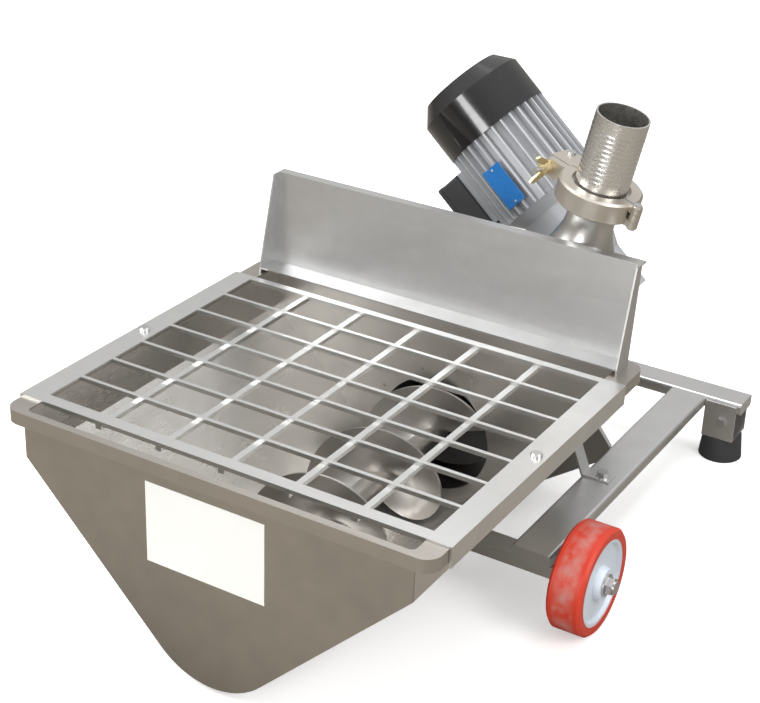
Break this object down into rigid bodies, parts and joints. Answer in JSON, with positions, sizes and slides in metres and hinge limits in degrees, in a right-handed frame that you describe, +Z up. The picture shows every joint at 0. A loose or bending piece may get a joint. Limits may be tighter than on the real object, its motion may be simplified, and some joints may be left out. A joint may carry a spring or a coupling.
{
  "type": "wine pump",
  "caption": "Mobile must and wine pump: a wide feed hopper with a grate, an auger in its trough, an elliptical rotor pump with a clamped hose outlet, a worm geared motor and a wheeled frame.",
  "frame": {"origin": "middle of the machine's length and width, on the floor", "axes": "+X to the outlet side, +Y to the rear where the motor is, +Z up"},
  "size_m": [0.7598, 1.013, 0.6572],
  "materials": {
    "hopper_steel": "brushed stainless sheet",
    "rim_steel": "brushed stainless sheet",
    "grate_steel": "bright satin stainless",
    "panel_steel": "plain satin stainless",
    "auger_steel": "satin stainless, welded flight",
    "casing_steel": "satin stainless",
    "outlet_steel": "turned satin stainless",
    "clamp_steel": "cast stainless, tumbled",
    "frame_steel": "satin stainless tube and plate",
    "fastener_steel": "plain stainless fasteners",
    "nut_brass": "cast brass",
    "rotor_rubber": "food grade black rubber",
    "seal_rubber": "black rubber",
    "gasket_rubber": "white food grade rubber",
    "foot_rubber": "dark grey rubber",
    "gear_case_paint": "silver grey enamel on cast aluminium",
    "motor_paint": "silver grey enamel on cast aluminium",
    "fan_cover_plastic": "glossy black",
    "fan_plastic": "matt black",
    "terminal_plastic": "dark grey moulded",
    "gland_plastic": "black moulded",
    "wheel_nylon": "white nylon",
    "tyre_red": "red polyurethane"
  },
  "bodies": {
    "frame": {"hopper_trough": "hopper_steel", "hopper_front_plate": "hopper_steel", "hopper_rear_plate": "hopper_steel", "hopper_rim": "rim_steel", "grate_frame": "grate_steel", "grate_long_bars": "grate_steel", "grate_cross_bars": "grate_steel", "grate_screws": "fastener_steel", "splash_panel": "panel_steel", "pump_casing": "casing_steel", "casing_bolts": "fastener_steel", "bulkhead": "frame_steel", "shaft_seal": "seal_rubber", "shaft_bearing": "fastener_steel", "gear_case": "gear_case_paint", "worm_gearbox": "gear_case_paint", "gearbox_cover": "gear_case_paint", "motor_end_shield": "motor_paint", "motor_flange_bolts": "fastener_steel", "stator_housing": "motor_paint", "fan_cover": "fan_cover_plastic", "terminal_box": "terminal_plastic", "terminal_box_cover": "terminal_plastic", "cable_gland": "gland_plastic", "outlet_gasket": "gasket_rubber", "hose_tail": "outlet_steel", "clamp_front_half": "clamp_steel", "clamp_rear_half": "clamp_steel", "clamp_hinge_pin": "fastener_steel", "swing_bolt_pin": "fastener_steel", "rear_bar": "frame_steel", "frame_end_caps": "frame_steel", "side_rail_right": "frame_steel", "side_rail_left": "frame_steel", "cross_bar_right": "frame_steel", "cross_bar_left": "frame_steel", "strap_right": "frame_steel", "strap_left": "frame_steel", "strap_bolts": "fastener_steel", "axle_right": "fastener_steel", "axle_left": "fastener_steel", "axle_nuts": "fastener_steel", "foot_rubbers": "foot_rubber", "foot_brackets": "frame_steel", "foot_bolts": "fastener_steel", "outlet_trunk": "casing_steel"},
    "auger": {"auger": "auger_steel", "pump_rotor": "rotor_rubber"},
    "motor_rotor": {"motor_shaft": "fastener_steel", "fan": "fan_plastic"},
    "wheel_right": {"wheel_core_right": "wheel_nylon", "wheel_tyre_right": "tyre_red"},
    "wheel_left": {"wheel_core_left": "wheel_nylon", "wheel_tyre_left": "tyre_red"},
    "swing_bolt": {"swing_bolt": "fastener_steel"},
    "wing_nut": {"wing_nut": "nut_brass"}
  },
  "joints": [
    {"name": "auger_spin", "type": "hinge", "parent": "frame", "child": "auger", "pos_m": [0, 0.0495, 0.118], "axis": [0, 1, 0], "continuous": true},
    {"name": "motor_spin", "type": "hinge", "parent": "frame", "child": "motor_rotor", "pos_m": [0.02055, 0.3405, 0.44059], "axis": [-0.7431, 0, 0.6691], "continuous": true},
    {"name": "wheel_right_spin", "type": "hinge", "parent": "frame", "child": "wheel_right", "pos_m": [0.336, -0.0925, 0.078], "axis": [1, 0, 0], "continuous": true},
    {"name": "wheel_left_spin", "type": "hinge", "parent": "frame", "child": "wheel_left", "pos_m": [-0.336, -0.0925, 0.078], "axis": [1, 0, 0], "continuous": true},
    {"name": "swing_bolt_open", "type": "hinge", "parent": "frame", "child": "swing_bolt", "pos_m": [0.12585, 0.1996, 0.54544], "axis": [-0.2079, 0, -0.9781], "range_deg": [0, 95]},
    {"name": "wing_nut_turn", "type": "hinge", "parent": "swing_bolt", "child": "wing_nut", "pos_m": [0.11218, 0.14744, 0.54835], "axis": [-0.2532, -0.9659, 0.0538], "continuous": true}
  ],
  "couplings": [
    {"joint": "motor_spin", "follows": "auger_spin", "ratio": 20}
  ]
}
